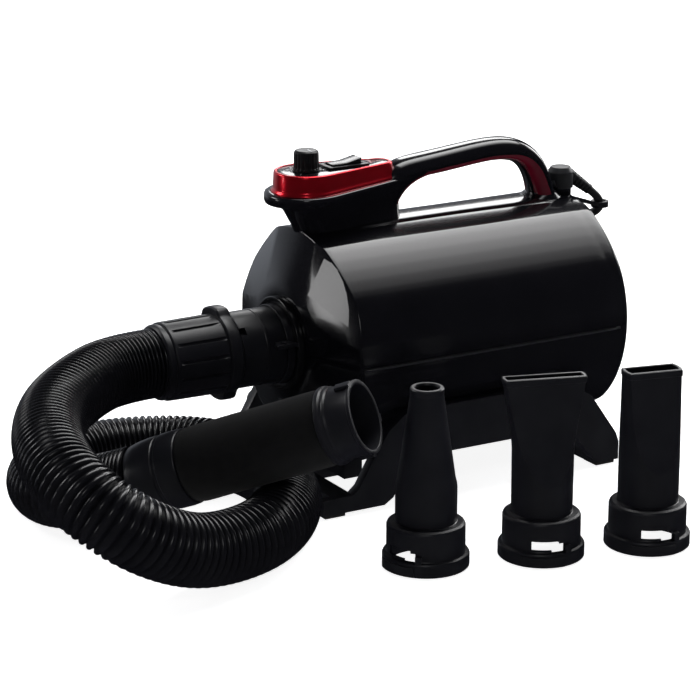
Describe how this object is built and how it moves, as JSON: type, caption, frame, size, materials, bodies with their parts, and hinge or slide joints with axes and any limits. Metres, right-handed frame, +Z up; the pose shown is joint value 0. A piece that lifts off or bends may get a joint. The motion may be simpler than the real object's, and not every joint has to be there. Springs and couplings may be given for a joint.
{
  "type": "pet dryer",
  "caption": "Floor pet dryer with a faceted black casing, red-trimmed control head, carry handle, ribbed hose with a foam grip, and loose air nozzles.",
  "frame": {"origin": "floor, below the middle of the dryer and its loose nozzles", "axes": "+X from the outlet towards the intake, +Z up, the operator's side is -Y"},
  "size_m": [0.5886, 0.5286, 0.2643],
  "materials": {
    "case_gloss": "gloss",
    "satin_black": "satin",
    "seal_rubber": "matte",
    "hose_plastic": "satin",
    "grip_foam": "matte foam",
    "red_plastic": "gloss",
    "red_metal": "metallic candy",
    "knob_black": "matte",
    "steel": "brushed",
    "aluminium": "satin",
    "board_green": "satin",
    "switch_black": "gloss",
    "base_satin": "satin",
    "copper": "satin",
    "foam_grey": "matte foam",
    "cap_grey": "satin",
    "cable_black": "satin"
  },
  "bodies": {
    "dryer": {"upper_housing": "case_gloss", "lower_housing": "case_gloss", "front_trim_ring": "satin_black", "outlet_horn": "satin_black", "outlet_collar": "satin_black", "latch_tab": "satin_black", "outlet_seal": "seal_rubber", "hose_tube": "hose_plastic", "grip_tail_cuff": "satin_black", "grip_core_tube": "satin_black", "grip_foam_sleeve": "grip_foam", "grip_mouth_ring": "satin_black", "handle_moulding": "case_gloss", "handle_liner": "red_plastic", "console_rim": "case_gloss", "console_bezel": "red_metal", "console_plate": "case_gloss", "speed_control": "board_green", "switch_frame": "satin_black", "base_cradle": "base_satin", "foot_pads": "seal_rubber", "motor_can": "steel", "motor_end_plate": "aluminium", "motor_stator": "steel", "motor_bearings": "steel", "fan_shroud": "aluminium", "motor_mount_rear": "seal_rubber", "motor_mount_front": "seal_rubber", "bulkhead_rear": "satin_black", "bulkhead_front": "satin_black", "acoustic_foam": "foam_grey", "outlet_duct": "satin_black", "control_board": "board_green", "control_heatsink": "aluminium", "intake_ring": "satin_black", "cable_boss": "case_gloss", "cable_boss_cap": "cap_grey", "strain_relief": "cable_black", "cord_clip": "satin_black", "mains_cable": "cable_black", "mains_coil": "cable_black", "coil_tie": "satin_black", "mains_plug": "cable_black", "base_screws": "steel", "intake_screws": "steel"},
    "rotor": {"motor_rotor": "copper", "motor_shaft": "steel", "impeller": "aluminium"},
    "knob": {"speed_knob": "knob_black", "knob_stem": "steel"},
    "rocker": {"rocker_switch": "switch_black"},
    "cuff": {"hose_cuff": "satin_black", "hose_end_ring": "satin_black"},
    "cover": {"intake_cover": "satin_black", "filter_foam": "foam_grey"},
    "round_nozzle": {"nozzle_cone": "satin_black"},
    "wide_nozzle": {"nozzle_fishtail": "satin_black"},
    "flat_nozzle": {"nozzle_flat": "satin_black"}
  },
  "joints": [
    {"name": "motor_spin", "type": "hinge", "parent": "dryer", "child": "rotor", "pos_m": [0.0202, 0.0955, 0.113], "axis": [1, 0, 0], "continuous": true},
    {"name": "knob_turn", "type": "hinge", "parent": "dryer", "child": "knob", "pos_m": [-0.0758, 0.0955, 0.25], "axis": [0, 0, 1], "range_deg": [-270, 0]},
    {"name": "rocker_tilt", "type": "hinge", "parent": "dryer", "child": "rocker", "pos_m": [-0.0429, 0.0955, 0.2451], "axis": [0, 1, 0], "range_deg": [0, 12]},
    {"name": "cuff_twist", "type": "hinge", "parent": "dryer", "child": "cuff", "pos_m": [-0.1698, 0.0955, 0.113], "axis": [1, 0, 0], "range_deg": [0, 25]},
    {"name": "cover_pull", "type": "slide", "parent": "dryer", "child": "cover", "axis": [1, 0, 0], "range_m": [0, 0.05]},
    {"name": "cone_lift", "type": "slide", "parent": "dryer", "child": "round_nozzle", "axis": [0, 0, 1], "range_m": [0, 0.12]},
    {"name": "fishtail_lift", "type": "slide", "parent": "dryer", "child": "wide_nozzle", "axis": [0, 0, 1], "range_m": [0, 0.12]},
    {"name": "flat_lift", "type": "slide", "parent": "dryer", "child": "flat_nozzle", "axis": [0, 0, 1], "range_m": [0, 0.12]}
  ]
}
